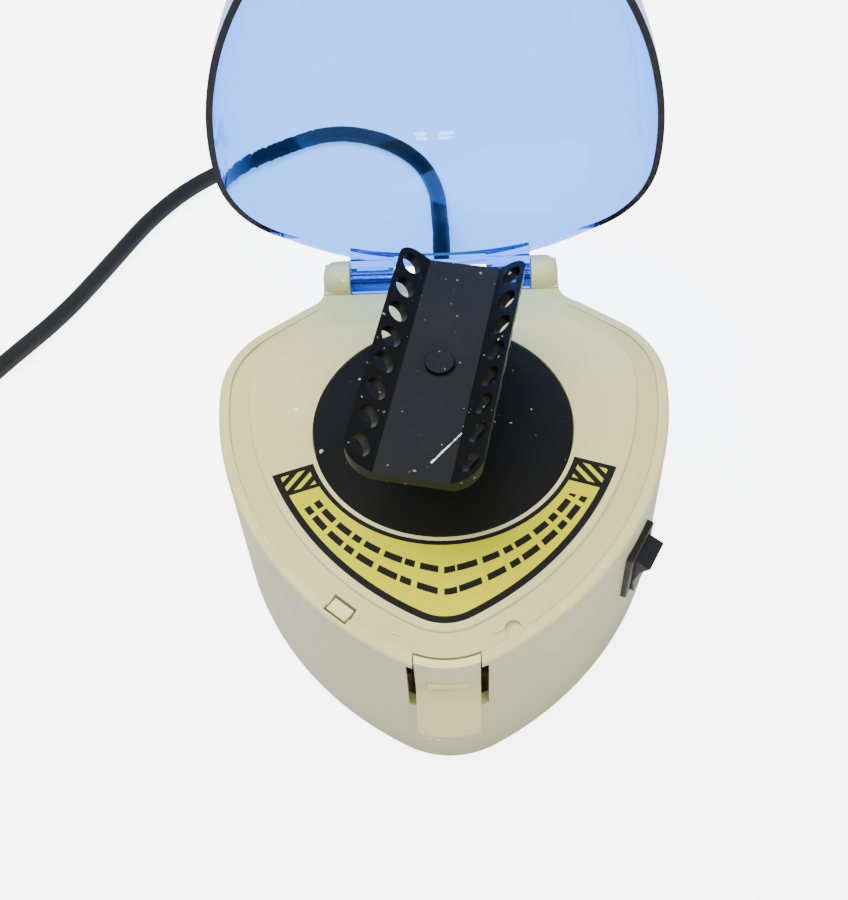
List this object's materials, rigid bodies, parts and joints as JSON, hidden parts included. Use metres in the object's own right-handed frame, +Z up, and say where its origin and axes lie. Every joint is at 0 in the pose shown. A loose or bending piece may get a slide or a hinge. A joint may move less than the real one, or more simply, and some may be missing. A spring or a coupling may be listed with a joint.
{
  "type": "mini centrifuge",
  "caption": "Benchtop mini centrifuge for strips of small tubes: rounded triangular cream base, hinged clear blue dome lid standing open, grooved strip rotor, rocker switch and mains lead.",
  "frame": {"origin": "on the table, under the middle of the open machine without its lead", "axes": "+Z up, -Y to the front with the latch, +X to the side with the switch"},
  "size_m": [0.3377, 0.2795, 0.1904],
  "materials": {
    "housing_cream": "fine satin texture, cream",
    "cover_cream": "satin",
    "foot_rubber": "matte",
    "steel": "zinc plated",
    "black_plastic": "fine texture",
    "label_film": "printed film, yellow with a black edge and stripes",
    "lid_blue": "clear blue, glossy",
    "rotor_charcoal": "fine matte",
    "hub_metal": "turned",
    "ring_rubber": "matte",
    "lamination_steel": "stacked sheet",
    "copper": "enamelled wire and bar, copper",
    "ferrite": "ground",
    "bronze": "sintered",
    "carbon": "pressed carbon",
    "terminal_brass": "tinned",
    "motor_nylon": "satin",
    "coil_tape": "taped winding",
    "board_laminate": "solder mask",
    "diode_case": "moulded",
    "capacitor_sleeve": "shrunk sleeve",
    "fuse_glass": "clear",
    "button_red": "moulded",
    "cord_rubber": "satin black jacket",
    "wire_jacket": "insulated cores"
  },
  "bodies": {
    "base": {"upper_housing": "housing_cream", "bottom_cover": "cover_cream", "rubber_feet": "foot_rubber", "housing_screws": "steel", "splash_disc": "black_plastic", "hazard_label": "label_film", "hinge_pins": "steel", "latch_pin": "steel", "latch_spring": "steel", "motor_can": "steel", "motor_magnets": "ferrite", "motor_end_cap": "motor_nylon", "motor_bearings": "bronze", "motor_brushes": "carbon", "motor_terminals": "terminal_brass", "motor_plate": "steel", "plate_isolators": "ring_rubber", "plate_screws": "steel", "motor_screws": "steel", "transformer_core": "lamination_steel", "transformer_coil": "coil_tape", "transformer_frame": "steel", "transformer_screws": "steel", "rectifier_board": "board_laminate", "board_diodes": "diode_case", "smoothing_capacitor": "capacitor_sleeve", "board_fuse": "fuse_glass", "board_screws": "steel", "switch_body": "black_plastic", "switch_terminals": "terminal_brass", "lid_switch_body": "black_plastic", "lid_switch_screws": "steel", "lid_switch_terminals": "terminal_brass", "cord_bushing": "cord_rubber", "power_cord": "cord_rubber", "cord_coil": "cord_rubber", "cord_tie": "cord_rubber", "plug_body": "cord_rubber", "plug_blades": "terminal_brass", "inner_leads": "wire_jacket"},
    "lid": {"lid_dome": "lid_blue"},
    "rotor": {"strip_rotor": "rotor_charcoal", "drive_hub": "hub_metal", "hub_ring": "ring_rubber", "motor_shaft": "steel", "armature_core": "lamination_steel", "armature_windings": "copper", "commutator": "copper"},
    "rocker": {"rocker": "black_plastic"},
    "latch": {"latch": "housing_cream"},
    "plunger": {"interlock_plunger": "housing_cream"},
    "button": {"lid_switch_button": "button_red"}
  },
  "joints": [
    {"name": "lid_hinge", "type": "hinge", "parent": "base", "child": "lid", "pos_m": [0, 0.04068, 0.054], "axis": [1, 0, 0], "range_deg": [0, 90]},
    {"name": "rotor_spin", "type": "hinge", "parent": "base", "child": "rotor", "pos_m": [0, -0.02232, 0.06], "axis": [0, 0, 1], "continuous": true},
    {"name": "switch_rocker", "type": "hinge", "parent": "base", "child": "rocker", "pos_m": [0.05121, -0.05323, 0.037], "axis": [0.4939, 0.8695, 0], "range_deg": [-24, 0]},
    {"name": "latch_press", "type": "hinge", "parent": "base", "child": "latch", "pos_m": [0, -0.08872, 0.041], "axis": [1, 0, 0], "range_deg": [0, 6], "stiffness_Nm_per_rad": 0.08, "springref_deg": -14.32},
    {"name": "plunger_press", "type": "slide", "parent": "base", "child": "plunger", "axis": [0, 0, 1], "range_m": [-0.002, 0], "stiffness_N_per_m": 150, "springref_m": 0.002},
    {"name": "lid_switch_press", "type": "slide", "parent": "base", "child": "button", "axis": [0, 0, 1], "range_m": [-0.002, 0]}
  ],
  "couplings": [
    {"joint": "lid_switch_press", "follows": "plunger_press", "ratio": 1}
  ]
}
